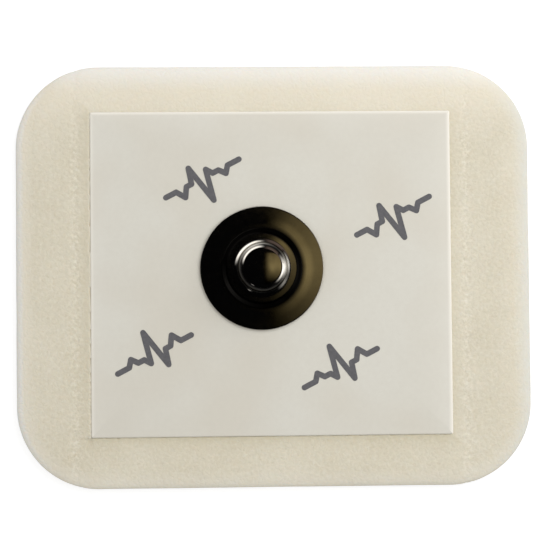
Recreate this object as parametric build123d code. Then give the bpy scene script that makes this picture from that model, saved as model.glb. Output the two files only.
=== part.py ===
from build123d import *
import math
import os

# Snap electrode for heart monitoring: a foam pad with a film label, a snap stud with its eyelet, and gel.
# It lies skin side down. The origin is on the skin face under the pad's centre, and the snap points along +Z.
# Sizes are in millimetres and angles in degrees.

# Foam pad
pad_length = 40.0
pad_width = 32.8
pad_corner_radius = 6.4
foam_thickness = 1.6
foam_edge_radius = 0.7

# Adhesive coat that holds the pad to the skin
adhesive_thickness = 0.1

# Film label that closes the gel well from above and carries the snap
label_length = 28.0
label_width = 25.2
label_thickness = 0.2
label_edge_radius = 0.1
label_x = -0.2
label_y = 0.2

# Snap axis, a little off the pad's centre
snap_x = -0.95
snap_y = 0.6

# Snap stud, drawn from one sheet, with a crowned head, a neck, a stepped collar and a drooping flange
stud_sheet = 0.25
stud_height = 3.5
head_diameter = 3.8
head_land = 0.45
crown_radius = 12.0
shoulder_radius = 0.6
neck_undercut = 0.35
collar_width = 1.55
collar_height = 0.75
collar_droop = 0.07
collar_step_run = 0.35
flange_diameter = 9.6
flange_droop = 0.1
edge_bend_radius = 0.33
neck_foot_radius = 0.8
rim_chamfer = 0.05

# Eyelet, whose post is pressed up into the stud through the label
eyelet_diameter = 9.8
eyelet_thickness = 0.5
eyelet_chamfer = 0.15
post_fit = 0.01
post_end_gap = 0.2
post_tip_chamfer = 0.2
label_hole_fit = 0.05

# Gel that fills the well through the foam and the adhesive, around and under the eyelet
gel_margin = 4.1
gel_gap = 0.1

# Levels, from the skin upwards
foam_bottom = adhesive_thickness
foam_top = foam_bottom + foam_thickness
label_top = foam_top + label_thickness

# Radii around the snap axis
head_radius = head_diameter / 2
neck_radius = head_radius - neck_undercut
collar_radius = neck_radius + collar_width
flange_radius = flange_diameter / 2
post_radius = neck_radius - stud_sheet - post_fit
eyelet_radius = eyelet_diameter / 2
well_radius = eyelet_radius + gel_margin


def on_snap_axis(z):
    """Place on the snap axis at height z."""
    return Pos(snap_x, snap_y, z)


def disc(radius, bottom, height):
    """Round plug on the snap axis."""
    return on_snap_axis(bottom) * extrude(Circle(radius), height)


def pad_layer(bottom, height):
    """Full layer of the pad, cut to the outline that the foam and its adhesive share."""
    outline = RectangleRounded(pad_length, pad_width, pad_corner_radius)
    return Pos(0, 0, bottom) * extrude(outline, height)


def make_skin_adhesive():
    coat = pad_layer(0, adhesive_thickness)
    return coat - disc(well_radius, 0, adhesive_thickness)


def make_foam_backing():
    foam = pad_layer(foam_bottom, foam_thickness)
    pinched_edge = foam.edges().group_by(Axis.Z)[-1]
    foam = fillet(pinched_edge, foam_edge_radius)
    return foam - disc(well_radius, foam_bottom, foam_thickness)


def make_top_label():
    film = Pos(label_x, label_y, foam_top) * extrude(Rectangle(label_length, label_width), label_thickness)
    cut_edge = film.edges().group_by(Axis.Z)[-1]
    film = fillet(cut_edge, label_edge_radius)
    return film - disc(post_radius + label_hole_fit, foam_top, label_thickness)


def sideways(corners, distance):
    """The same run of corners with every stretch moved to its right-hand side by a distance.

    The last corner moves straight down, so that the sheet ends in an upright rim.
    """
    stretches = [(after - before).normalized() for before, after in zip(corners, corners[1:])]
    sides = [Vector(along.Y, -along.X) for along in stretches]
    first = corners[0] + sides[0] * distance
    last = corners[-1] + Vector(0, distance / sides[-1].Y)
    between = [
        corner + (before + after) * (distance / (1 + before.dot(after)))
        for corner, before, after in zip(corners[1:-1], sides, sides[1:])
    ]
    return [first, *between, last]


def stud_surface(depth, bends):
    """Half section of the stud's skin at a depth into the sheet, from the crown out to the rim.

    X is the distance from the snap axis and Y the height over the label. The bends are the radii of the
    corners between the head's land and the flange, and 0 leaves a corner sharp.
    """
    crown_centre = stud_height - crown_radius
    crown_lean = math.asin((head_radius - shoulder_radius) / (crown_radius - shoulder_radius))
    shoulder_foot = crown_centre + (crown_radius - shoulder_radius) * math.cos(crown_lean)
    crown = CenterArc((0, crown_centre), crown_radius - depth, 90, -math.degrees(crown_lean))
    shoulder = JernArc(crown @ 1, crown % 1, shoulder_radius - depth, math.degrees(crown_lean) - 90)

    # The flange rests on the label along its rim, so its inner end stands higher by the droop.
    droop_angle = math.atan(flange_droop / (flange_radius - collar_radius))
    rim_height = stud_sheet / math.cos(droop_angle)
    land_foot = shoulder_foot - head_land
    corners = [
        Vector(head_radius, shoulder_foot),
        Vector(head_radius, land_foot),
        Vector(neck_radius, land_foot - neck_undercut),
        Vector(neck_radius, collar_height),
        Vector(collar_radius - collar_step_run, collar_height - collar_droop),
        Vector(collar_radius, rim_height + flange_droop),
        Vector(flange_radius, rim_height),
    ]
    side = FilletPolyline(*sideways(corners, depth), radius=bends)
    return Wire([*crown.edges(), *shoulder.edges(), *side.edges()])


def make_snap_stud():
    """Drawn sheet, round on the outer edges of its bends and along the neck's foot, and sharp in its corners."""
    outer_bends = [edge_bend_radius, 0, neck_foot_radius, edge_bend_radius, 0]
    inner_bends = [0, 0, neck_foot_radius + stud_sheet, 0, 0]
    outside = stud_surface(0, outer_bends)
    inside = stud_surface(stud_sheet, inner_bends)
    ends = [Line(outside @ end, inside @ end) for end in (0, 1)]
    section = make_face([*outside.edges(), *inside.edges(), *ends])
    upper_rim = section.vertices().group_by(Axis.X)[-1].sort_by(Axis.Y)[-1]
    section = chamfer(upper_rim, rim_chamfer)
    return on_snap_axis(label_top) * revolve(Plane.XZ * section, axis=Axis.Z)


def make_sensor_eyelet():
    """Flat flange under the label, with a post that ends short of the stud's crown."""
    flange = disc(eyelet_radius, foam_top - eyelet_thickness, eyelet_thickness)
    skin_side_edge = flange.edges().group_by(Axis.Z)[0]
    flange = chamfer(skin_side_edge, eyelet_chamfer)
    post_top = label_top + stud_height - stud_sheet - post_end_gap
    post = disc(post_radius, foam_top, post_top - foam_top)
    tip_edge = post.edges().group_by(Axis.Z)[-1]
    return flange + chamfer(tip_edge, post_tip_chamfer)


def make_gel_pad():
    gel = disc(well_radius - gel_gap, 0, foam_top)
    return gel - disc(eyelet_radius + gel_gap, foam_top - eyelet_thickness, eyelet_thickness)


parts = {
    "foam_backing": make_foam_backing(),
    "skin_adhesive": make_skin_adhesive(),
    "top_label": make_top_label(),
    "snap_stud": make_snap_stud(),
    "sensor_eyelet": make_sensor_eyelet(),
    "gel_pad": make_gel_pad(),
}

os.makedirs("parts", exist_ok=True)
for name, shape in parts.items():
    export_step(shape, f"parts/{name}.step")
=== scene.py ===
"""Snap electrode for heart monitoring, lying skin side down and seen from above.

Modelled pieces stand for the foam, label, stud, gel and adhesive, and the label carries printed marks.
The eyelet's own solid stays, with a finish of its own.
"""

import math

import bpy
from mathutils import Matrix, Vector, noise


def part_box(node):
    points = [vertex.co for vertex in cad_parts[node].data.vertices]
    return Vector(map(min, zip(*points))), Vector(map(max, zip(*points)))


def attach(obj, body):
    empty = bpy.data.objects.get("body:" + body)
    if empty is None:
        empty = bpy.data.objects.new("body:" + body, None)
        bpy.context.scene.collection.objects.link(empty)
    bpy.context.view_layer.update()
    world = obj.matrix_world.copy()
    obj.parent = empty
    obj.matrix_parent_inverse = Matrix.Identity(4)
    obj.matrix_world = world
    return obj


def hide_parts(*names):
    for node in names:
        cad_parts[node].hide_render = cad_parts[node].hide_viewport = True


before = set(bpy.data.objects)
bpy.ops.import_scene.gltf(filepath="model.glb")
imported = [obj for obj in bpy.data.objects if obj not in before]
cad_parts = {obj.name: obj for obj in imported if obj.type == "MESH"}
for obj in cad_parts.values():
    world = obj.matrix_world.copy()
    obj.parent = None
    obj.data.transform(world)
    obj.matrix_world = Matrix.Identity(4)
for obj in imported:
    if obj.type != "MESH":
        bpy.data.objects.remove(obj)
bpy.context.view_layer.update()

# Lengths are in millimetres in the part's frame, and angles in degrees. MM turns lengths into metres.
MM = 0.001


def node_box(node):
    """Lowest and highest corner of a solid, in millimetres."""
    low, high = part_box(node)
    return low / MM, high / MM


foam_low, foam_high = node_box("foam_backing")
label_low, label_high = node_box("top_label")
stud_low, stud_high = node_box("snap_stud")
eyelet_low, eyelet_high = node_box("sensor_eyelet")
gel_low, gel_high = node_box("gel_pad")
adhesive_low, adhesive_high = node_box("skin_adhesive")

snap_axis = ((stud_low + stud_high) / 2).xy
stud_height = stud_high.z - stud_low.z
flange_radius = (stud_high.x - stud_low.x) / 2
pad_centre = ((foam_low + foam_high) / 2).xy
pad_size = (foam_high - foam_low).xy
label_centre = ((label_low + label_high) / 2).xy
label_size = (label_high - label_low).xy

# Foam pad: outline, rolled edge and gel well
PAD_CORNER = 6.4
ROLL_WIDTH = 1.5
ROLL_HEIGHT = 0.45
WELL_RADIUS = 9.0
WALL_STEPS = 6
ROLL_STEPS = 24

# Rings of the foam's top face, by the share of the way to the well: close in the open, few under the label
OPEN_FACE_SHARES = [0.0125 * step for step in range(44)]
COVERED_FACE_SHARES = [0.63, 0.75, 0.87, 1.0]

# Foam's skin: cells, slow waves, and creased lines where it was pressed. A crease's width is in cells.
CELL_SIZE = 0.42
CELL_DEPTH = 0.05
CREASE_WIDTH = 0.5
WAVE_SIZE = 2.6
WAVE_DEPTH = 0.03
PRESS_LINE_GAP = 1.2
PRESS_LINE_WIDTH = 0.4

# Foam's swell along the label's left and bottom edges
SWELL_LEFT = 0.19
SWELL_BELOW = 0.11
SWELL_REACH = 0.4

# Foam's painted light and grey rim tint. A fade gives the two distances at which a change begins and is
# full.
TOP_STRIP_FADE = (6.0, 0.4)
RIGHT_STRIP_FADE = (2.8, 0.0)
RIGHT_STRIP_LIGHT = 0.45
RIM_FADE = (1.4, 0.4)
RIM_LIGHT_LEFT = 1.0
RIM_LIGHT_RIGHT = 0.5
RIM_LIGHT_BETWEEN = 0.55
LABEL_SIDE_LIGHT = 0.9
LABEL_SIDE_REACH = 0.25
GREY_RIM_FADE = (1.4, 0.2)
GREY_RIGHT_FADE = (4.0, 0.5)
GREY_RIGHT = 0.65
GREY_BELOW_TOP_FADE = (4.0, 8.0)
GREY_BELOW_TOP = 0.2

# Film label: cut edge, hole for the eyelet's post, and slow waves
LABEL_EDGE = 0.1
LABEL_EDGE_STEPS = 6
LABEL_CORNER = 0.12
LABEL_HOLE_RADIUS = 1.34
LABEL_WAVE_SIZE = 7.0
LABEL_WAVE_DEPTH = 0.012

# Label's face, by the share of the way from its edge to the hole: rings, flat border, and the pale border
# and halo that carry the cut edge's painted highlight onto the face
LABEL_FACE_SHARES = [0.006, 0.012, 0.02, 0.04, *[0.08 * step for step in range(1, 12)], 1.0]
FLAT_BORDER = 0.2
PALE_BORDER = 0.02
PALE_HALO_REACH = 0.08
PALE_HALO = 0.25

# Label's sides: how strong the cut edge's painted highlight is, and the strength and reach of the painted
# shade on the foam there
CUT_EDGE_HIGHLIGHT = {"above": 0.9, "below": 0.0, "left": 0.6, "right": 1.0}
LABEL_SHADE = {"above": (0.0, 0.5), "below": (0.5, 0.7), "left": (0.3, 1.0), "right": (0.15, 0.6)}

# Printed marks on the label: place from the pad's centre and turn
MARKS = [
    (Vector((-5.5, 7.6)), 207.5),
    (Vector((9.3, 4.6)), 207.5),
    (Vector((-9.3, -6.0)), 27.5),
    (Vector((5.1, -7.2)), 27.5),
]
INK_HEIGHT = 0.01
INK_DEPTH = 0.03
PEN_WIDTH = 0.44
PEN_BEND_STEPS = 8
PEN_END_STEPS = 12

# One beat of a heart trace, from the middle of its base line
BEAT = [
    (-3.2, 0.0),
    (-2.2, 0.0),
    (-1.8, 0.5),
    (-1.4, 0.0),
    (-0.9, 0.0),
    (-0.55, -0.5),
    (0.0, 1.9),
    (0.6, -1.2),
    (0.95, 0.0),
    (1.4, 0.0),
    (1.85, 0.7),
    (2.3, 0.0),
    (3.2, 0.0),
]

# Snap stud
SHEET = 0.25
HEAD_RADIUS = 1.9
HEAD_LAND = 0.45
CROWN_RADIUS = 12.0
SHOULDER_RADIUS = 0.6
NECK_RADIUS = 1.55
NECK_FOOT_RADIUS = 0.8
COLLAR_RADIUS = 3.1
COLLAR_HEIGHT = 0.75
COLLAR_DROOP = 0.07
COLLAR_STEP_RUN = 0.35
STEP_TOP_RADIUS = COLLAR_RADIUS - COLLAR_STEP_RUN
FLANGE_DROOP = 0.1
INSIDE_BEND = 0.08
OUTSIDE_BEND = INSIDE_BEND + SHEET
RIM_EDGE = 0.06
PROFILE_STEP = 0.12
TURN_STEPS = 192

# Sides of the stud where its painted dark reflection is lighter or heavier than the rest: azimuth around the
# snap axis, and reach
BRIGHT_REFLECTION_SIDES = [(120, 34), (2, 24)]
BRIGHT_COLLAR = (50, 28)
LIT_STEP = (214, 24)
DARK_FOOT_SIDE = (342, 28)

# Painted dark reflection and shade on the stud: how strong it is, and the fades of radius, or of slope, over
# which it comes and goes
COLLAR_DARK_PAINT = 0.6
COLLAR_FADE = (STEP_TOP_RADIUS - 0.65, STEP_TOP_RADIUS - 0.45)
STEP_FADE = (STEP_TOP_RADIUS - 0.18, STEP_TOP_RADIUS - 0.07)
STEP_GLINT = 0.035
FLANGE_FADE = (COLLAR_RADIUS + 0.38, COLLAR_RADIUS)
FLANGE_RIM_DARK_PAINT = 0.3
FLANGE_RIM_FADE = (COLLAR_RADIUS + 0.65, COLLAR_RADIUS + 1.0)
SHOULDER_DARK_PAINT = 0.95
BRIGHT_SIDE_LIFT = 0.8
SHOULDER_SLOPE_FADE = (26, 33)
UPRIGHT_SLOPE_FADE = (89, 80)
FOOT_DARK_PAINT = 0.9
FOOT_SLOPE_FADE = (5, 11)
FOOT_INNER_RADIUS = HEAD_RADIUS - 0.1

# Gel: gap around the eyelet, soft lower rim, and rings of its flat face
GEL_GAP = 0.1
GEL_SOFT_RIM = 0.35
GEL_FACE_RADII = (6.0, 3.0, 0.0)

# Stage, with its lengths in metres
FLOOR_REACH = 2.0
FLOOR_PAINT = 0.5
FLOOR_LIFT = 0.68
SKY_FILL = 0.65
KEY_PLACE = Vector((0.074, 0.058, 0.118))
KEY_POWER = 0.128
KEY_SIZE = 0.16
DAYLIGHT = (1, 0.98, 0.94)
TENT_GLOW = 0.0015
WINDOW_GLOW = 1.9
WINDOW_SOFT_TOP = 0.12

# Camera: nearly straight above, leaning a little to the picture's lower left, and turned by half a degree
FRAME_WIDTH = 42.72
LENS = 100.0
SENSOR = 36.0
NEAREST_SEEN = 10.0
VIEW_LEAN = (-1.8, -1.7)
VIEW_ROLL = -0.54
VIEW_TARGET = Vector((0.07, 0.065, 1.7))


# Shares and fades


def share_of(value, low, high):
    """How far a value has come from low to high, from 0 to 1."""
    return min(max((value - low) / (high - low), 0), 1)


def smooth(share):
    """A share from 0 to 1, eased at both ends."""
    return share * share * (3 - 2 * share)


def soft_ends(share, reach):
    """1 along a sheet, and falling to 0 over a reach at either end."""
    return smooth(share_of(min(share, 1 - share), 0, reach))


# Mesh building


def new_object(name, mesh):
    """Scene object for a mesh, linked and smooth."""
    mesh.shade_smooth()
    piece = bpy.data.objects.new(name, mesh)
    bpy.context.scene.collection.objects.link(piece)
    return piece


def new_mesh(name, points, faces):
    """Mesh from points in millimetres."""
    mesh = bpy.data.meshes.new(name)
    mesh.from_pydata([tuple(Vector(point) * MM) for point in points], [], faces)
    mesh.validate()
    return mesh


def mesh_from_rings(name, rings):
    """Closed skin over rings of points, each ring joined to the next and the last to the first."""
    count = len(rings[0])
    faces = []
    for ring in range(len(rings)):
        a = ring * count
        b = (ring + 1) % len(rings) * count
        for i in range(count):
            j = (i + 1) % count
            faces.append((a + i, a + j, b + j, b + i))
    return new_mesh(name, [point for ring in rings for point in ring], faces)


def store(mesh, attribute, values):
    """Keep one number for every point of a mesh, for its material to read."""
    layer = mesh.attributes.new(attribute, "FLOAT", "POINT")
    layer.data.foreach_set("value", values)


def rounded_outline(centre, size, corner, inset, side_steps, corner_steps):
    """Points around a rectangle with round corners, counter-clockwise from its lower right corner."""
    sharpest = 0.001
    half = size / 2 - Vector((inset, inset))
    radius = max(corner - inset, sharpest)
    signs = [(1, -1), (1, 1), (-1, 1), (-1, -1)]
    hubs = [centre + Vector((sx * (half.x - radius), sy * (half.y - radius))) for sx, sy in signs]
    points = []
    for quarter, hub in enumerate(hubs):
        start = math.radians(90 * quarter - 90)
        end = start + math.radians(90)
        for step in range(corner_steps):
            angle = start + (end - start) * step / corner_steps
            points.append(hub + radius * Vector((math.cos(angle), math.sin(angle))))
        side = radius * Vector((math.cos(end), math.sin(end)))
        next_hub = hubs[(quarter + 1) % len(hubs)]
        for step in range(side_steps):
            points.append((hub + side).lerp(next_hub + side, step / side_steps))
    return points


def circle_facing(points, centre, radius):
    """A circle's points, each on the ray from its centre to the matching point of an outline."""
    return [centre + (point - centre).normalized() * radius for point in points]


def between(outer, inner, share):
    """A ring at a share of the way from one ring to another."""
    return [a.lerp(b, share) for a, b in zip(outer, inner)]


def level(points, z):
    """Flat points lifted to one height."""
    return [Vector((point.x, point.y, z)) for point in points]


def lathe(name, profile, base):
    """Solid turned about the snap axis. Its profile runs from axis to axis, as radius and height."""
    points = [(snap_axis.x, snap_axis.y, base + profile[0].y)]
    for corner in profile[1:-1]:
        for i in range(TURN_STEPS):
            angle = math.tau * i / TURN_STEPS
            x = snap_axis.x + corner.x * math.cos(angle)
            y = snap_axis.y + corner.x * math.sin(angle)
            points.append((x, y, base + corner.y))
    points.append((snap_axis.x, snap_axis.y, base + profile[-1].y))
    rings = len(profile) - 2
    last = len(points) - 1
    faces = []
    for i in range(TURN_STEPS):
        j = (i + 1) % TURN_STEPS
        faces.append((0, 1 + i, 1 + j))
        for ring in range(rings - 1):
            a = 1 + ring * TURN_STEPS
            b = a + TURN_STEPS
            faces.append((a + i, b + i, b + j, a + j))
        end = 1 + (rings - 1) * TURN_STEPS
        faces.append((last, end + j, end + i))
    return new_mesh(name, points, faces)


def arc(centre, radius, start, end, step):
    """Points along an arc, in degrees, both ends included."""
    steps = max(2, math.ceil(abs(end - start) / step))
    angles = [math.radians(start + (end - start) * i / steps) for i in range(steps + 1)]
    return [centre + radius * Vector((math.cos(angle), math.sin(angle))) for angle in angles]


def fan(hub, spoke, turn, steps):
    """Ends of a spoke that turns about a hub, both ends of the turn included."""
    return [hub + Matrix.Rotation(turn * i / steps, 2) @ spoke for i in range(steps + 1)]


def filleted(corners, radii, step):
    """A run of straight stretches with a round of its own at every inner corner, in steps of an angle."""
    path = [corners[0]]
    for before, corner, after, radius in zip(corners, corners[1:], corners[2:], radii):
        into = (corner - before).normalized()
        out = (after - corner).normalized()
        turn = math.atan2(into.x * out.y - into.y * out.x, into.dot(out))
        start = corner - into * (radius * math.tan(abs(turn) / 2))
        side = Vector((-into.y, into.x)) * math.copysign(1, turn)
        hub = start + side * radius
        steps = max(2, math.ceil(math.degrees(abs(turn)) / step))
        path += fan(hub, start - hub, turn, steps)
    path.append(corners[-1])
    return path


def densified(path, reach):
    """The same run of points, with more of them wherever two lie further apart than a reach."""
    dense = [path[0]]
    for before, after in zip(path, path[1:]):
        steps = max(1, math.ceil((after - before).length / reach))
        dense += [before.lerp(after, i / steps) for i in range(1, steps + 1)]
    return dense


# Materials


def srgb(*screen):
    """A screen colour from 0 to 255 as the linear colour that a material takes."""
    shares = [value / 255 for value in screen]
    return tuple(v / 12.92 if v <= 0.04045 else ((v + 0.055) / 1.055) ** 2.4 for v in shares)


class Shader:
    """One node material with a Principled surface and short ways to add its textures."""

    def __init__(self, name, colour, roughness, **constants):
        self.material = bpy.data.materials.new(name)
        self.material.use_nodes = True
        self.tree = self.material.node_tree
        self.surface = self.tree.nodes["Principled BSDF"]
        self.surface.inputs["Base Color"].default_value = (*colour, 1)
        self.surface.inputs["Roughness"].default_value = roughness
        for socket, value in constants.items():
            self.surface.inputs[socket.replace("_", " ")].default_value = value
        self.place = self.add("ShaderNodeTexCoord").outputs["Object"]

    def add(self, kind, inputs=(), **settings):
        """A node with its settings, and its inputs as values or as sockets to link."""
        made = self.tree.nodes.new(kind)
        for key, value in settings.items():
            setattr(made, key, value)
        for key, value in dict(inputs).items():
            if isinstance(value, bpy.types.NodeSocket):
                self.tree.links.new(value, made.inputs[key])
            else:
                made.inputs[key].default_value = value
        return made

    def noise(self, size, detail=3, rough=0.55):
        """Noise with features of a size in millimetres, from 0 to 1."""
        return self.add(
            "ShaderNodeTexNoise",
            {"Vector": self.place, "Scale": 1 / (size * MM), "Detail": detail, "Roughness": rough},
        ).outputs["Fac"]

    def cells(self, size):
        """Distance from the walls between cells of a size in millimetres."""
        return self.add(
            "ShaderNodeTexVoronoi",
            {"Vector": self.place, "Scale": 1 / (size * MM)},
            feature="DISTANCE_TO_EDGE",
        ).outputs["Distance"]

    def kept(self, attribute):
        """A number that the mesh keeps for every point."""
        return self.add("ShaderNodeAttribute", attribute_name=attribute).outputs["Fac"]

    def ramp(self, value, low, high, start=0.0, end=1.0):
        """A value's stretch from low to high, spread from start to end."""
        return self.add(
            "ShaderNodeMapRange",
            {"Value": value, "From Min": low, "From Max": high, "To Min": start, "To Max": end},
        ).outputs["Result"]

    def combine(self, operation, a, b):
        """Two values brought together by one operation."""
        return self.add("ShaderNodeMath", {0: a, 1: b}, operation=operation).outputs[0]

    def mix(self, share, first, second):
        """Two colours mixed by a share. The second is a plain colour, and the first may be linked."""
        if not isinstance(first, bpy.types.NodeSocket):
            first = (*first, 1)
        # A mix node's colours go in at sockets 6 and 7 and come out at socket 2.
        inputs = {0: share, 6: first, 7: (*second, 1)}
        return self.add("ShaderNodeMix", inputs, data_type="RGBA").outputs[2]

    def colour(self, socket):
        """Link the surface's colour."""
        self.tree.links.new(socket, self.surface.inputs["Base Color"])

    def roughness(self, socket):
        """Link the surface's roughness."""
        self.tree.links.new(socket, self.surface.inputs["Roughness"])

    def bump(self, height, depth, strength):
        """Relief over any relief so far, where the full height is a depth in millimetres."""
        made = self.add("ShaderNodeBump", {"Height": height, "Distance": depth * MM, "Strength": strength})
        linked = self.surface.inputs["Normal"].links
        if linked:
            self.tree.links.new(linked[0].from_socket, made.inputs["Normal"])
        self.tree.links.new(made.outputs["Normal"], self.surface.inputs["Normal"])


def dress(piece, shader, slot, *nodes):
    """Give a piece its material, the solids it stands for, and the body it rides on. Its slot is not used.
    """
    piece.data.materials.clear()
    piece.data.materials.append(shader.material)
    if nodes:
        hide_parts(*nodes)
    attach(piece, "root")


# Places around the label


def past_label(point):
    """How far a point lies past the label's sides, across and along. Inside the label both are below 0."""
    across = max(label_low.x - point.x, point.x - label_high.x)
    along = max(label_low.y - point.y, point.y - label_high.y)
    return across, along


def label_side(point):
    """The side of the label that a point lies furthest past, or nearest to if it is inside."""
    across, along = past_label(point)
    if along > across:
        return "above" if point.y > label_centre.y else "below"
    return "right" if point.x > label_centre.x else "left"


# Foam pad: a soft rolled edge and a skin of small closed cells


def press_line(x):
    """1 along the two upright lines beside the label where the foam was pressed, and 0 away from them."""
    left = label_low.x - PRESS_LINE_GAP
    right = label_high.x + PRESS_LINE_GAP
    return max(math.exp(-(((x - line) / PRESS_LINE_WIDTH) ** 2)) for line in (left, right))


def foam_relief(point):
    """How deep the foam's skin lies below its even surface: slow waves, and creases on the pressed lines."""
    near, _ = noise.voronoi(point / CELL_SIZE)
    crease = 1 - min((near[1] - near[0]) / CREASE_WIDTH, 1)
    wave = 0.5 + 0.5 * noise.noise(point / WAVE_SIZE)
    return CELL_DEPTH * crease**2 * press_line(point.x) + WAVE_DEPTH * wave


def swell(point):
    """How far the soft foam stands up along the label's left and bottom edges."""
    left = label_low.x - point.x
    below = label_low.y - point.y
    if left > 0 and label_low.y < point.y < label_high.y:
        return SWELL_LEFT * math.exp(-left / SWELL_REACH)
    if below > 0 and label_low.x < point.x < label_high.x:
        return SWELL_BELOW * math.exp(-below / SWELL_REACH)
    return 0.0


def shade_beside_label(point):
    """How much the label shades the foam: in full under it, and less with the distance from its sides."""
    strength, reach = LABEL_SHADE[label_side(point)]
    return strength * math.exp(-max(*past_label(point), 0) / reach)


def foam_painted_light(point, inset):
    """How much light is painted on the foam: at the top and the right, along the rim, and beside the label's
    left edge.
    """
    # Painted light: paler towards the top, the right and the rim, and a pale strip along the label's left
    # edge that lifts its shade.
    top = share_of(foam_high.y - point.y, *TOP_STRIP_FADE)
    right = RIGHT_STRIP_LIGHT * share_of(foam_high.x - point.x, *RIGHT_STRIP_FADE)
    across = share_of(point.x, foam_low.x, foam_high.x)
    to_the_right = RIM_LIGHT_LEFT + (RIM_LIGHT_RIGHT - RIM_LIGHT_LEFT) * across
    to_the_ends = RIM_LIGHT_BETWEEN + (1 - RIM_LIGHT_BETWEEN) * (2 * across - 1) ** 4
    rim = to_the_right * to_the_ends * share_of(inset, *RIM_FADE)
    beside_label = 0.0
    if label_low.y < point.y < label_high.y:
        beside_label = LABEL_SIDE_LIGHT * math.exp(-abs(label_low.x - point.x) / LABEL_SIDE_REACH)
    return max(top, right, rim, beside_label)


def greyness(point, inset):
    """How grey the foam's rim is tinted: most at its right end, and a little elsewhere but at the top."""
    right = GREY_RIGHT * share_of(foam_high.x - point.x, *GREY_RIGHT_FADE)
    below_top = GREY_BELOW_TOP * share_of(foam_high.y - point.y, *GREY_BELOW_TOP_FADE)
    return max(right, below_top) * share_of(inset, *GREY_RIM_FADE)


def foam_outline(inset):
    """The pad's outline, drawn in from its rim."""
    return rounded_outline(pad_centre, pad_size, PAD_CORNER, inset, side_steps=190, corner_steps=72)


def foam_rings():
    """Rings from the well's foot out to the rim, up the wall, over the rolled edge and back to the well.

    With each ring come its inset from the rim and the lean of its skin, in radians from upright to flat.
    The first ring has no lean, because it stays where it is.
    """
    rim = foam_outline(0)
    yield level(circle_facing(rim, snap_axis, WELL_RADIUS), foam_low.z), ROLL_WIDTH, None
    wall_top = foam_high.z - ROLL_HEIGHT
    for step in range(WALL_STEPS):
        yield level(rim, foam_low.z + (wall_top - foam_low.z) * step / WALL_STEPS), 0.0, 0.0
    for step in range(ROLL_STEPS):
        angle = math.radians(90) * step / ROLL_STEPS
        inset = ROLL_WIDTH * (1 - math.cos(angle))
        lean = math.atan2(ROLL_WIDTH * math.sin(angle), ROLL_HEIGHT * math.cos(angle))
        yield level(foam_outline(inset), wall_top + ROLL_HEIGHT * math.sin(angle)), inset, lean
    lip = foam_outline(ROLL_WIDTH)
    well = circle_facing(lip, snap_axis, WELL_RADIUS)
    for share in OPEN_FACE_SHARES + COVERED_FACE_SHARES:
        yield level(between(lip, well, share), foam_high.z), ROLL_WIDTH, math.radians(90)


def make_foam():
    """The foam pad, with its relief, and with the numbers that its colour follows."""
    rings = []
    looks = {"painted_light": [], "grey_tint": [], "label_shade": [], "pressed": []}
    for ring, inset, lean in foam_rings():
        for point in ring:
            looks["painted_light"].append(foam_painted_light(point, inset))
            looks["grey_tint"].append(greyness(point, inset))
            looks["label_shade"].append(shade_beside_label(point))
            looks["pressed"].append(press_line(point.x))
            if lean is not None:
                outward = (point.xy - pad_centre).normalized() * math.cos(lean)
                point -= (foam_relief(point) - swell(point)) * Vector((*outward, math.sin(lean)))
        rings.append(ring)
    mesh = mesh_from_rings("foam", rings)
    for attribute, values in looks.items():
        store(mesh, attribute, values)
    return new_object("foam", mesh)


def foam_shader():
    """Cream foam with a grain of pale dots and darker pits that doubles as painted highlight and shade,
    painted light on its top, right and rim, a grey rim tint, and a painted shade beside the label.
    """
    shader = Shader(
        "foam",
        srgb(216, 209, 191),
        roughness=0.86,
        Specular_IOR_Level=0.25,
        Subsurface_Weight=0.3,
        Subsurface_Scale=0.5 * MM,
        Subsurface_Radius=(1.0, 0.8, 0.6),
    )
    patches = shader.ramp(shader.noise(4.5, detail=2), 0.3, 0.7)
    base = shader.mix(patches, srgb(211, 203, 182), srgb(218, 211, 192))
    # Grain of pale dots, most along the pressed lines, and darker pits, which also stands for painted
    # highlights on the cells and painted shade in their pits.
    dots = shader.ramp(shader.noise(0.28, detail=2, rough=0.7), 0.4, 0.75)
    dots = shader.combine("MULTIPLY", dots, shader.ramp(shader.kept("pressed"), 0, 1, 0.43, 0.95))
    base = shader.mix(dots, base, srgb(236, 230, 214))
    pits = shader.ramp(shader.noise(0.34, detail=2, rough=0.7), 0.6, 0.8, 0.0, 0.62)
    base = shader.mix(pits, base, srgb(196, 187, 164))
    # Painted light in two steps, palest along the rim and beside the label's left edge.
    painted_light = shader.kept("painted_light")
    base = shader.mix(shader.ramp(painted_light, 0, 0.7, 0, 0.65), base, srgb(236, 228, 210))
    base = shader.mix(shader.ramp(painted_light, 0.72, 1, 0, 0.85), base, srgb(237, 234, 227))
    # Grey tint along the rim, most at its right end.
    base = shader.mix(shader.kept("grey_tint"), base, srgb(216, 217, 211))
    base = shader.mix(shader.kept("label_shade"), base, srgb(200, 189, 158))
    shader.colour(base)
    shader.bump(shader.noise(0.16, detail=2), depth=0.02, strength=0.6)
    shader.bump(shader.ramp(shader.cells(CELL_SIZE), 0, 0.25), depth=CELL_DEPTH, strength=0.28)
    return shader


# Film label: a flat sheet with a pale cut edge that carries a painted highlight


def label_outline(inset):
    """The label's outline, drawn in from its cut edge."""
    return rounded_outline(label_centre, label_size, LABEL_CORNER, inset, side_steps=90, corner_steps=6)


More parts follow.
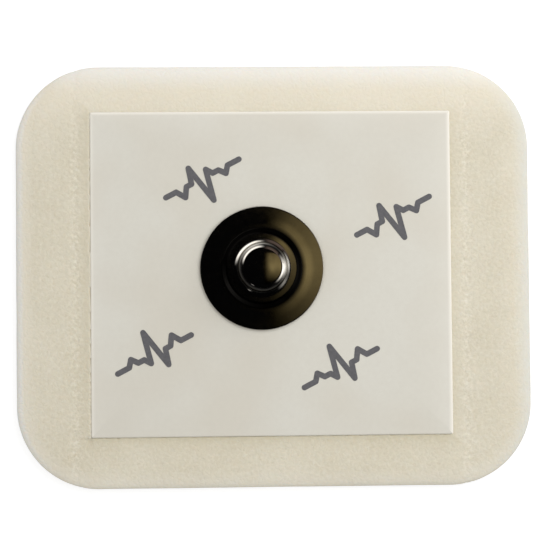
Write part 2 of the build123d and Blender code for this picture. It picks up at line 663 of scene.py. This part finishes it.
def make_label():
    """The label as rings from the post's hole over the foot, the cut edge and the face back to the hole."""
    foot = label_outline(0)
    rings = [
        level(circle_facing(foot, snap_axis, LABEL_HOLE_RADIUS), label_low.z),
        level(foot, label_low.z),
    ]
    pale = [0.0, 1.0]
    shoulder = label_high.z - LABEL_EDGE
    for step in range(LABEL_EDGE_STEPS + 1):
        angle = math.radians(90) * step / LABEL_EDGE_STEPS
        edge = label_outline(LABEL_EDGE * (1 - math.cos(angle)))
        rings.append(level(edge, shoulder + LABEL_EDGE * math.sin(angle)))
        pale.append(1.0)
    lip = label_outline(LABEL_EDGE)
    hole = circle_facing(lip, snap_axis, LABEL_HOLE_RADIUS)
    for share in LABEL_FACE_SHARES:
        ring = level(between(lip, hole, share), label_high.z)
        if share > FLAT_BORDER:
            for point in ring:
                point.z -= LABEL_WAVE_DEPTH * (0.5 + 0.5 * noise.noise(point / LABEL_WAVE_SIZE))
        rings.append(ring)
        pale.append(max(1 - share / PALE_BORDER, PALE_HALO * math.exp(-share / PALE_HALO_REACH)))
    mesh = mesh_from_rings("label", rings)
    # Painted highlight along the cut edge and a little way onto the face: strongest on the right, then the
    # top, less on the left, none at the bottom.
    cut_edge_highlight = []
    for value, ring in zip(pale, rings):
        cut_edge_highlight += [value * CUT_EDGE_HIGHLIGHT[label_side(point)] for point in ring]
    store(mesh, "cut_edge_highlight", cut_edge_highlight)
    return new_object("label", mesh)


def label_shader():
    """Pale satin film with a faint fibre and a painted highlight on its cut edge."""
    shader = Shader("label_film", srgb(214, 210, 199), roughness=0.5, Specular_IOR_Level=0.4)
    tint = shader.ramp(shader.noise(6.0, detail=1), 0.35, 0.65)
    base = shader.mix(tint, srgb(213, 208, 195), srgb(217, 214, 203))
    fibre = shader.ramp(shader.noise(0.35, detail=4), 0.3, 0.7, 0.0, 0.25)
    base = shader.mix(fibre, base, srgb(206, 201, 189))
    # Painted highlight on the cut edge.
    base = shader.mix(shader.kept("cut_edge_highlight"), base, srgb(240, 235, 224))
    shader.colour(base)
    shader.roughness(shader.ramp(shader.noise(1.2), 0.3, 0.7, 0.42, 0.58))
    shader.bump(shader.noise(0.25, detail=3), depth=0.004, strength=0.6)
    return shader


# Printed marks: one beat of a heart trace, drawn with a round pen


def pen_side(line, reach):
    """The pen's edge left of a bent line and around its end: sharp inside a bend and round outside it."""
    runs = [(b - a).normalized() for a, b in zip(line, line[1:])]
    sides = [Vector((-run.y, run.x)) for run in runs]
    edge = [line[0] + sides[0] * reach]
    for corner, before, after in zip(line[1:], sides, sides[1:]):
        turn = before.angle_signed(after)
        if turn < 0:
            edge.append(corner + (before + after) * (reach / (1 + before.dot(after))))
        else:
            edge += fan(corner, before * reach, -turn, PEN_BEND_STEPS)
    half_turn = fan(line[-1], sides[-1] * reach, math.radians(-180), PEN_END_STEPS)
    return edge + half_turn[:-1]


def make_print():
    """All printed marks as one thin layer of ink, sunk a little into the label's face."""
    line = [Vector(point) for point in BEAT]
    outline = pen_side(line, PEN_WIDTH / 2) + pen_side(line[::-1], PEN_WIDTH / 2)
    count = len(outline)
    points = []
    faces = []
    for place, turn in MARKS:
        rotation = Matrix.Rotation(math.radians(turn), 2)
        mark = [place + rotation @ point for point in outline]
        foot = range(len(points), len(points) + count)
        face = range(foot.stop, foot.stop + count)
        points += level(mark, label_high.z - INK_DEPTH) + level(mark, label_high.z + INK_HEIGHT)
        faces += [list(foot), list(reversed(face))]
        faces += [(foot[i - 1], face[i - 1], face[i], foot[i]) for i in range(count)]
    mesh = new_mesh("label_print", points, faces)
    piece = new_object("label_print", mesh)
    mesh.shade_flat()
    return piece


def ink_shader():
    """Grey ink that covers a little unevenly."""
    shader = Shader("ink", srgb(96, 95, 98), roughness=0.55, Specular_IOR_Level=0.4)
    cover = shader.ramp(shader.noise(0.22, detail=4, rough=0.7), 0.35, 0.8)
    shader.colour(shader.mix(cover, srgb(90, 89, 92), srgb(106, 105, 108)))
    shader.bump(shader.noise(0.12, detail=2), depth=0.002, strength=0.5)
    return shader


# Snap stud: one drawn sheet, turned about the snap axis


def rim_thickness():
    """The sheet's upright thickness at the flange's rim, where the sheet droops."""
    droop = math.atan(FLANGE_DROOP / (flange_radius - COLLAR_RADIUS))
    return SHEET / math.cos(droop)


def stud_outside():
    """The stud's outer skin from the crown to the rim, as radius and height over the label."""
    crown_hub = Vector((0, stud_height - CROWN_RADIUS))
    lean = math.asin((HEAD_RADIUS - SHOULDER_RADIUS) / (CROWN_RADIUS - SHOULDER_RADIUS))
    to_shoulder = Vector((math.sin(lean), math.cos(lean)))
    shoulder_hub = crown_hub + (CROWN_RADIUS - SHOULDER_RADIUS) * to_shoulder
    crown_end = 90 - math.degrees(lean)
    outer = arc(crown_hub, CROWN_RADIUS, 90, crown_end, step=0.5)
    outer += arc(shoulder_hub, SHOULDER_RADIUS, crown_end, 0, step=3)[1:]
    land_foot = shoulder_hub.y - HEAD_LAND
    undercut = HEAD_RADIUS - NECK_RADIUS
    corners = [
        Vector((HEAD_RADIUS, shoulder_hub.y)),
        Vector((HEAD_RADIUS, land_foot)),
        Vector((NECK_RADIUS, land_foot - undercut)),
        Vector((NECK_RADIUS, COLLAR_HEIGHT)),
        Vector((STEP_TOP_RADIUS, COLLAR_HEIGHT - COLLAR_DROOP)),
        Vector((COLLAR_RADIUS, rim_thickness() + FLANGE_DROOP)),
        Vector((flange_radius, rim_thickness())),
    ]
    bends = [OUTSIDE_BEND, INSIDE_BEND, NECK_FOOT_RADIUS, OUTSIDE_BEND, INSIDE_BEND]
    outer += filleted(corners, bends, step=5)[1:]
    return densified(outer, PROFILE_STEP)


def stud_profile():
    """The stud's outer skin from the crown to the rim, then its inner skin back, one sheet further in."""
    outer = stud_outside()
    inner = []
    for before, point, after in zip([outer[0]] + outer, outer, outer[1:] + [outer[-1]]):
        along = (after - before).normalized()
        inner.append(point - SHEET * Vector((-along.y, along.x)))
    inner[0] = Vector((0, outer[0].y - SHEET))
    inner[-1] = Vector((flange_radius, outer[-1].y - rim_thickness()))
    rim = filleted([outer[-2], outer[-1], inner[-1]], [RIM_EDGE], step=15)
    return outer[:-1] + rim[1:] + inner[-2::-1]


def near_side(azimuth, side, reach):
    """1 at one side of the snap axis, and falling to 0 over a reach around it, all in degrees."""
    turn = (azimuth - side + 180) % 360 - 180
    return math.exp(-((turn / reach) ** 2))


def collar_painted_dark(radius, azimuth):
    """Painted dark reflection around the collar: a little on it, most in the step below it as painted shade,
    and some towards the rim.
    """
    collar_dark = COLLAR_DARK_PAINT * (1 - near_side(azimuth, *BRIGHT_COLLAR))
    on_collar = collar_dark * share_of(radius, *COLLAR_FADE)
    # Painted shade in the step below the collar.
    in_step = (1 - STEP_GLINT * near_side(azimuth, *LIT_STEP)) * share_of(radius, *STEP_FADE)
    on_rim = FLANGE_RIM_DARK_PAINT * share_of(radius, *FLANGE_RIM_FADE)
    return max(max(on_collar, in_step) * share_of(radius, *FLANGE_FADE), on_rim)


def flank_painted_dark(point, slope, azimuth):
    """Painted dark reflection on steep flanks: around the head's shoulder, and around the neck's foot,
    lighter on the sides that mirror the windows.
    """
    # Painted dark reflection on steep slopes, lightened on the sides that mirror the windows.
    bright_side = max(near_side(azimuth, *side) for side in BRIGHT_REFLECTION_SIDES)
    steep = share_of(slope, *SHOULDER_SLOPE_FADE) * share_of(slope, *UPRIGHT_SLOPE_FADE)
    on_steep = (SHOULDER_DARK_PAINT - BRIGHT_SIDE_LIFT * bright_side) * steep
    if point.y > stud_height - SHOULDER_RADIUS - HEAD_LAND:
        return on_steep
    if FOOT_INNER_RADIUS < point.x < COLLAR_RADIUS:
        on_foot = FOOT_DARK_PAINT * near_side(azimuth, *DARK_FOOT_SIDE) * share_of(slope, *FOOT_SLOPE_FADE)
        return max(on_steep, on_foot)
    return 0.0


def make_stud():
    """The stud, with its painted dark reflection at every point."""
    profile = stud_profile()
    mesh = lathe("stud", profile, stud_low.z)
    dark = [0.0]
    for before, point, after in zip(profile, profile[1:], profile[2:]):
        along = after - before
        slope = math.degrees(math.atan2(abs(along.y), abs(along.x)))
        for i in range(TURN_STEPS):
            azimuth = 360 * i / TURN_STEPS
            dark.append(max(collar_painted_dark(point.x, azimuth), flank_painted_dark(point, slope, azimuth)))
    dark.append(0.0)
    store(mesh, "painted_dark_reflection", dark)
    return new_object("stud", mesh)


def stud_shader():
    """Bright plated metal, a little cloudy, painted near black and made rougher where its painted dark
    reflection lies.
    """
    shader = Shader(
        "snap_metal",
        (0.62, 0.60, 0.56),
        roughness=0.08,
        Metallic=1.0,
        Specular_Tint=(0.25, 0.25, 0.25, 1),
    )
    clouds = shader.ramp(shader.noise(1.1, detail=4), 0.35, 0.75)
    base = shader.mix(clouds, (0.66, 0.64, 0.60), (0.57, 0.54, 0.49))
    painted_dark_reflection = shader.kept("painted_dark_reflection")
    # Painted dark reflection and shade: the metal's colour goes near black where the mask is full.
    shader.colour(shader.mix(painted_dark_reflection, base, (0.003, 0.0028, 0.0026)))
    polish = shader.ramp(shader.noise(0.35, detail=4), 0.3, 0.7, 0.05, 0.1)
    shader.roughness(shader.combine("ADD", polish, shader.combine("MULTIPLY", painted_dark_reflection, 0.12)))
    shader.bump(shader.noise(0.5, detail=3), depth=0.002, strength=0.2)
    return shader


# Skin side: eyelet, gel and adhesive


def eyelet_shader():
    """Silvery coat with a fine grain."""
    shader = Shader("sensor_coating", srgb(172, 172, 176), roughness=0.5, Metallic=0.6)
    grain = shader.ramp(shader.noise(0.15, detail=3), 0.3, 0.7)
    shader.colour(shader.mix(grain, srgb(176, 176, 182), srgb(208, 208, 210)))
    shader.bump(shader.noise(0.1, detail=2), depth=0.006, strength=0.5)
    return shader


def make_gel():
    """The gel disc, turned about the snap axis, with a soft lower rim and a pocket for the eyelet."""
    radius = (gel_high.x - gel_low.x) / 2
    top = gel_high.z - gel_low.z
    pocket_radius = (eyelet_high.x - eyelet_low.x) / 2 + GEL_GAP
    pocket_floor = eyelet_low.z - gel_low.z
    profile = [
        Vector((0, pocket_floor)),
        Vector((pocket_radius, pocket_floor)),
        Vector((pocket_radius, top)),
        Vector((radius, top)),
    ]
    rim_hub = Vector((radius - GEL_SOFT_RIM, GEL_SOFT_RIM))
    profile += arc(rim_hub, GEL_SOFT_RIM, 0, -90, step=10)
    profile += [Vector((face_radius, 0)) for face_radius in GEL_FACE_RADII]
    return new_object("gel", lathe("gel", profile, gel_low.z))


def gel_shader():
    """Clear wet gel with a faint haze."""
    shader = Shader("gel", srgb(226, 228, 222), roughness=0.12, IOR=1.4, Transmission_Weight=0.5)
    haze = shader.ramp(shader.noise(2.4, detail=3), 0.35, 0.7)
    shader.colour(shader.mix(haze, srgb(228, 231, 226), srgb(244, 246, 243)))
    shader.roughness(shader.ramp(shader.noise(0.6), 0.3, 0.7, 0.08, 0.22))
    shader.bump(shader.noise(0.9, detail=2), depth=0.03, strength=0.4)
    return shader


def make_adhesive():
    """The adhesive coat as rings around its thin section."""
    centre = ((adhesive_low + adhesive_high) / 2).xy
    size = (adhesive_high - adhesive_low).xy
    outer = rounded_outline(centre, size, PAD_CORNER, 0, side_steps=60, corner_steps=24)
    inner = circle_facing(outer, snap_axis, WELL_RADIUS)
    middle = between(outer, inner, 0.5)
    skin_side = [level(ring, adhesive_low.z) for ring in (inner, middle, outer)]
    foam_side = [level(ring, adhesive_high.z) for ring in (outer, middle, inner)]
    return new_object("adhesive", mesh_from_rings("adhesive", skin_side + foam_side))


def adhesive_shader():
    """Tacky film with uneven gloss."""
    shader = Shader("adhesive", srgb(222, 218, 202), roughness=0.3, Specular_IOR_Level=0.5)
    film = shader.ramp(shader.noise(1.6, detail=4), 0.3, 0.7)
    shader.colour(shader.mix(film, srgb(216, 211, 194), srgb(228, 224, 210)))
    shader.roughness(shader.ramp(shader.noise(0.5), 0.3, 0.7, 0.2, 0.42))
    shader.bump(shader.noise(0.45, detail=3), depth=0.012, strength=0.5)
    return shader


# Stage: white floor, soft light, and what the metal mirrors, with lengths in metres


def bare_material(name):
    """A material with nothing but its output, with its node tree and the socket of its surface."""
    material = bpy.data.materials.new(name)
    material.use_nodes = True
    tree = material.node_tree
    tree.nodes.clear()
    output = tree.nodes.new("ShaderNodeOutputMaterial")
    return material, tree, output.inputs["Surface"]


def seen_by_eye_or_mirror(tree):
    """1 for rays from the camera, off a mirror or through glass, and 0 for light that fills the scene."""
    path = tree.nodes.new("ShaderNodeLightPath")
    seen = path.outputs["Is Camera Ray"]
    for kind in ("Is Glossy Ray", "Is Transmission Ray"):
        either = tree.nodes.new("ShaderNodeMath")
        either.operation = "MAXIMUM"
        tree.links.new(seen, either.inputs[0])
        tree.links.new(path.outputs[kind], either.inputs[1])
        seen = either.outputs[0]
    return seen


def make_floor():
    """A floor that is lifted to white where it is seen, and still takes the pad's shadow."""
    reach = FLOOR_REACH
    corners = [(-reach, -reach, 0), (reach, -reach, 0), (reach, reach, 0), (-reach, reach, 0)]
    mesh = bpy.data.meshes.new("floor")
    mesh.from_pydata(corners, [], [(0, 1, 2, 3)])
    floor = new_object("floor", mesh)
    material, tree, surface = bare_material("floor")
    paint = tree.nodes.new("ShaderNodeBsdfDiffuse")
    paint.inputs["Color"].default_value = (FLOOR_PAINT, FLOOR_PAINT, FLOOR_PAINT, 1)
    share = tree.nodes.new("ShaderNodeMath")
    share.operation = "MULTIPLY"
    share.inputs[1].default_value = FLOOR_LIFT
    tree.links.new(seen_by_eye_or_mirror(tree), share.inputs[0])
    lift = tree.nodes.new("ShaderNodeEmission")
    tree.links.new(share.outputs[0], lift.inputs["Strength"])
    both = tree.nodes.new("ShaderNodeAddShader")
    tree.links.new(paint.outputs[0], both.inputs[0])
    tree.links.new(lift.outputs[0], both.inputs[1])
    tree.links.new(both.outputs[0], surface)
    mesh.materials.append(material)


def make_world():
    """A white sky that lights the scene at a lower level than it shows."""
    world = bpy.data.worlds.new("studio")
    bpy.context.scene.world = world
    world.use_nodes = True
    tree = world.node_tree
    sky = tree.nodes["Background"]
    sky.inputs["Color"].default_value = (1, 1, 1, 1)
    level_by_ray = tree.nodes.new("ShaderNodeMapRange")
    level_by_ray.inputs["To Min"].default_value = SKY_FILL
    level_by_ray.inputs["To Max"].default_value = 1.0
    tree.links.new(seen_by_eye_or_mirror(tree), level_by_ray.inputs["Value"])
    tree.links.new(level_by_ray.outputs[0], sky.inputs["Strength"])


def make_key_lamp():
    """A soft lamp from the upper right, which shines on the pad and shows in no mirror."""
    lamp = bpy.data.lights.new("key", "AREA")
    lamp.energy = KEY_POWER
    lamp.shape = "DISK"
    lamp.size = KEY_SIZE
    holder = bpy.data.objects.new("key", lamp)
    holder.location = KEY_PLACE
    holder.rotation_euler = (-KEY_PLACE).to_track_quat("-Z", "Y").to_euler()
    holder.visible_camera = False
    holder.visible_glossy = False
    bpy.context.scene.collection.objects.link(holder)


def reflected(name, place, glow, colour, rows=16, columns=48):
    """A glowing sheet that shows in reflections alone, placed and lit by two shares, across and along it."""
    shares = [(j / columns, i / rows) for i in range(rows + 1) for j in range(columns + 1)]
    faces = []
    for i in range(rows):
        for j in range(columns):
            a = i * (columns + 1) + j
            faces.append((a, a + 1, a + columns + 2, a + columns + 1))
    mesh = bpy.data.meshes.new(name)
    mesh.from_pydata([tuple(place(u, v)) for u, v in shares], [], faces)
    store(mesh, "glow", [glow(u, v) for u, v in shares])

    material, tree, surface = bare_material(name)
    shine = tree.nodes.new("ShaderNodeEmission")
    shine.inputs["Color"].default_value = (*colour, 1)
    strength = tree.nodes.new("ShaderNodeAttribute")
    strength.attribute_name = "glow"
    tree.links.new(strength.outputs["Fac"], shine.inputs["Strength"])
    tree.links.new(shine.outputs[0], surface)
    mesh.materials.append(material)

    sheet = new_object(name, mesh)
    sheet.visible_camera = False
    sheet.visible_diffuse = False
    sheet.visible_transmission = False
    sheet.visible_volume_scatter = False
    sheet.visible_shadow = False


def on_dome(radius, azimuth, polar):
    """Places on a dome between two azimuths and two angles from straight up, in degrees."""

    def place(u, v):
        turn = math.radians(azimuth[0] + (azimuth[1] - azimuth[0]) * u)
        tilt = math.radians(polar[0] + (polar[1] - polar[0]) * v)
        out = math.sin(tilt)
        return radius * Vector((out * math.cos(turn), out * math.sin(turn), math.cos(tilt)))

    return place


def overhead(height, across, along):
    """Places on a flat sheet overhead between two tilts to the right and two to the top, in degrees."""

    def place(u, v):
        right = math.radians(across[0] + (across[1] - across[0]) * u)
        top = math.radians(along[0] + (along[1] - along[0]) * v)
        return height * Vector((math.tan(right), math.tan(top), 1))

    return place


def tent_glow(u, v):
    """Next to nothing, all over."""
    return TENT_GLOW


def horizon_glow(u, v):
    """A dim band just over the floor, brighter towards it, with slow changes around it."""
    around = Vector((math.cos(math.tau * u), math.sin(math.tau * u), 0))
    changes = 0.3 + 0.25 * noise.noise(2 * around)
    towards_floor = smooth(share_of(v, 0, 0.5))
    return changes * towards_floor


def warm_wall_glow(u, v):
    """Brightest a little above the middle, fading to the left and most of all below, in slow patches."""
    from_left = smooth(share_of(u, 0, 0.36))
    upright = smooth(share_of(v, 0.08, 0.6)) * smooth(share_of(v, 1.35, 0.7))
    patches = 1.0 + 0.4 * noise.noise(Vector((4 * u, 4 * v, 0)))
    return 0.95 * from_left * upright * patches


def pale_wall_glow(u, v):
    """Soft at both ends, and dimmer towards the floor."""
    return soft_ends(u, 0.3) * (1 - 0.6 * v)


def left_window_glow(u, v):
    """White in its upper half, dimmer below, and soft at both ends and at the top."""
    dimmed = 1.2 * smooth(share_of(v, 0.4, 0.65))
    return (WINDOW_GLOW - dimmed) * soft_ends(u, 0.3) * smooth(share_of(v, 0, WINDOW_SOFT_TOP))


def right_window_glow(u, v):
    """White down to the floor, and soft at both ends and at the top."""
    return WINDOW_GLOW * soft_ends(u, 0.45) * smooth(share_of(v, 0, WINDOW_SOFT_TOP))


def small_light_glow(u, v):
    """A soft spot."""
    return 0.7 * soft_ends(u, 0.5) * soft_ends(v, 0.5)


def make_reflections():
    """What the metal mirrors: a dark tent with a horizon, two walls, two windows and a small light."""
    tent = on_dome(0.6, azimuth=(0, 360), polar=(0, 90))
    horizon = on_dome(0.58, azimuth=(0, 360), polar=(64, 89))
    warm_wall = overhead(0.55, across=(2.2, 19), along=(-12.5, 12.5))
    pale_wall = on_dome(0.5, azimuth=(10, 90), polar=(20, 60))
    window_left = on_dome(0.5, azimuth=(80, 172), polar=(31, 88))
    window_right = on_dome(0.5, azimuth=(-52, 42), polar=(31, 88))
    small_light = on_dome(0.45, azimuth=(234, 246), polar=(46, 62))
    reflected("tent", tent, tent_glow, (1, 1, 1.1))
    reflected("horizon", horizon, horizon_glow, DAYLIGHT)
    reflected("warm_wall", warm_wall, warm_wall_glow, srgb(138, 123, 84))
    reflected("pale_wall", pale_wall, pale_wall_glow, srgb(112, 98, 92))
    reflected("window_left", window_left, left_window_glow, DAYLIGHT)
    reflected("window_right", window_right, right_window_glow, DAYLIGHT)
    reflected("small_light", small_light, small_light_glow, DAYLIGHT)


# Camera, at the photograph's viewing angle


def make_camera():
    """The camera, as far from its target as the frame's width there asks for."""
    camera = bpy.data.objects.new("camera", bpy.data.cameras.new("camera"))
    camera.data.lens = LENS
    camera.data.sensor_width = SENSOR
    camera.data.clip_start = NEAREST_SEEN * MM
    distance = FRAME_WIDTH * LENS / SENSOR
    back = Vector((*[math.tan(math.radians(lean)) for lean in VIEW_LEAN], 1)).normalized()
    right = Vector((0, 1, 0)).cross(back).normalized()
    aim = Matrix((right, back.cross(right), back)).transposed().to_4x4()
    roll = Matrix.Rotation(math.radians(VIEW_ROLL), 4, "Z")
    camera.matrix_world = Matrix.Translation((VIEW_TARGET + back * distance) * MM) @ aim @ roll
    bpy.context.scene.collection.objects.link(camera)
    bpy.context.scene.camera = camera


# Pieces of the part, then the stage

foam = make_foam()
dress(foam, foam_shader(), "foam", "foam_backing")
dress(make_label(), label_shader(), "label_film", "top_label")
dress(make_print(), ink_shader(), "label_film")
dress(make_stud(), stud_shader(), "snap_metal", "snap_stud")
dress(make_gel(), gel_shader(), "gel", "gel_pad")
dress(make_adhesive(), adhesive_shader(), "adhesive", "skin_adhesive")
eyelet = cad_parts["sensor_eyelet"]
eyelet.data.materials.clear()
eyelet.data.materials.append(eyelet_shader().material)

make_floor()
make_world()
make_reflections()
make_key_lamp()
make_camera()
bpy.context.scene.view_settings.view_transform = "Standard"
